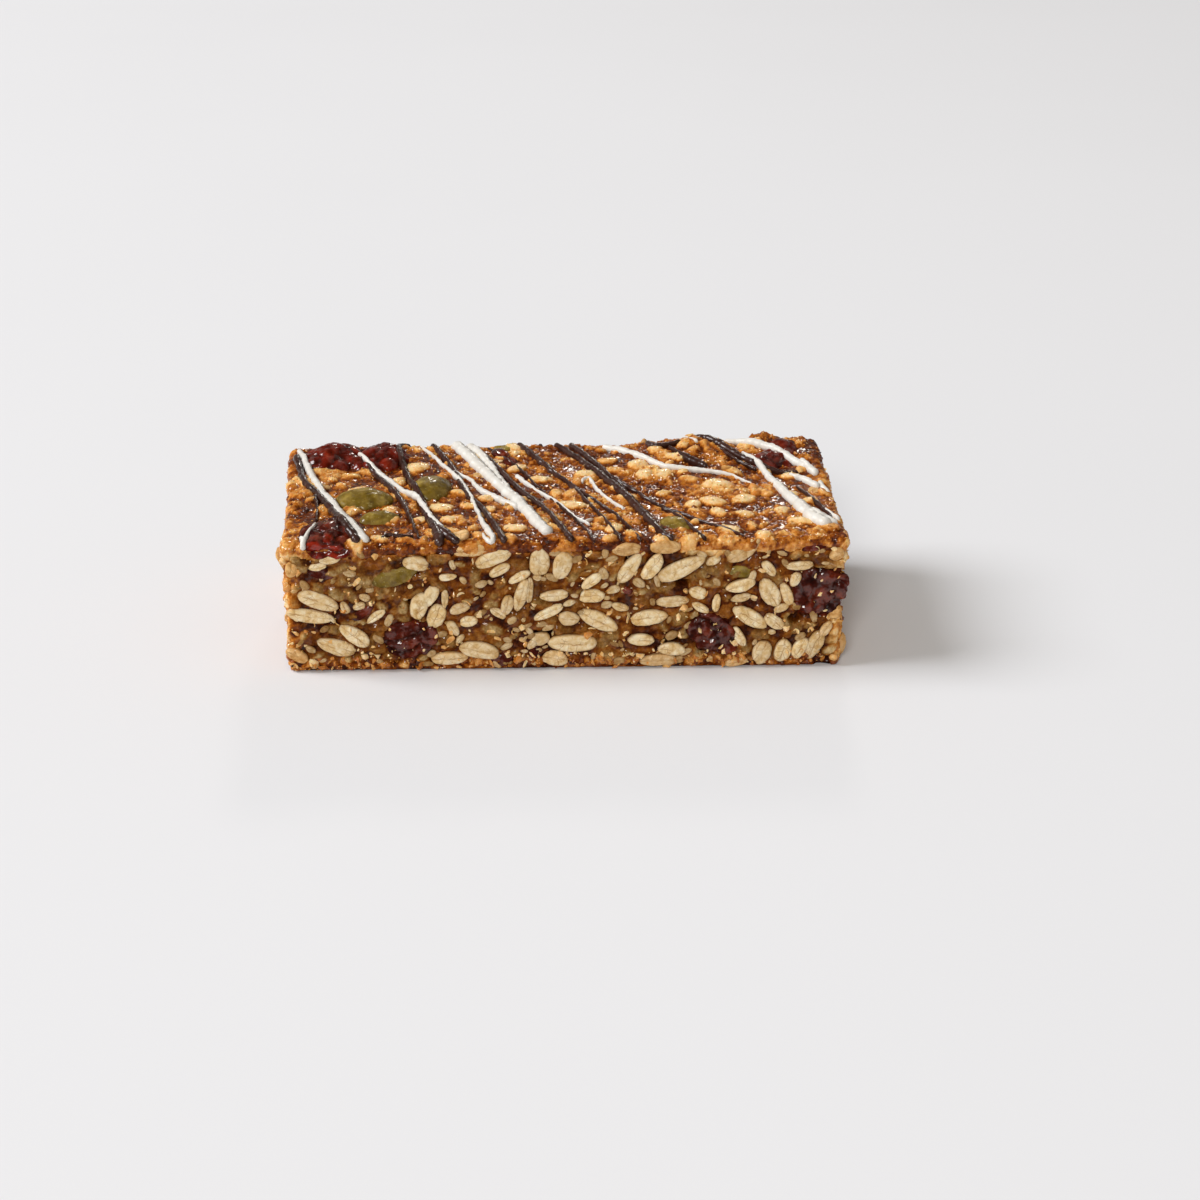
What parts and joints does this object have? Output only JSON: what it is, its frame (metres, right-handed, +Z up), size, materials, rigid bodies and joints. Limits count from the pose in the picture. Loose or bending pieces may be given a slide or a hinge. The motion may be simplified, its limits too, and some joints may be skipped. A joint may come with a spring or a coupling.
{
  "type": "granola bar",
  "caption": "Rectangular baked oat slice with knife-cut long sides, knobbly crust on top and ends, and dried berries and hulled seeds set in it.",
  "frame": {"origin": "middle of the flat foot that the bar rests on", "axes": "+X along the bar's length, +Y from the front cut side to the back cut side, +Z up out of the crust"},
  "size_m": [0.1006, 0.0462, 0.027],
  "materials": {
    "baked_oats": "sticky baked oats in caramelised syrup, semi-gloss",
    "cranberry": "wrinkled dried berry, glossy dark red",
    "pumpkin_seed": "hulled seed, olive green, satin under syrup",
    "oat_grain": "cream oat grain, cut or whole, matt",
    "dark_chocolate": "set dark chocolate drizzle, satin",
    "white_chocolate": "set white chocolate drizzle, satin"
  },
  "bodies": {
    "root": {"cranberry_back_cut_a": "cranberry", "cranberry_back_cut_b": "cranberry", "cranberry_back_left_a": "cranberry", "cranberry_back_left_b": "cranberry", "cranberry_back_right_a": "cranberry", "cranberry_back_right_b": "cranberry", "cranberry_cut_left": "cranberry", "cranberry_cut_middle": "cranberry", "cranberry_cut_right": "cranberry", "cranberry_end_left": "cranberry", "cranberry_end_right": "cranberry", "cranberry_front_corner": "cranberry", "oat_block": "baked_oats", "pumpkin_seed_back_cut": "pumpkin_seed", "pumpkin_seed_cut": "pumpkin_seed", "pumpkin_seed_left": "pumpkin_seed", "pumpkin_seed_low": "pumpkin_seed", "pumpkin_seed_middle": "pumpkin_seed", "pumpkin_seed_right": "pumpkin_seed"}
  },
  "joints": []
}
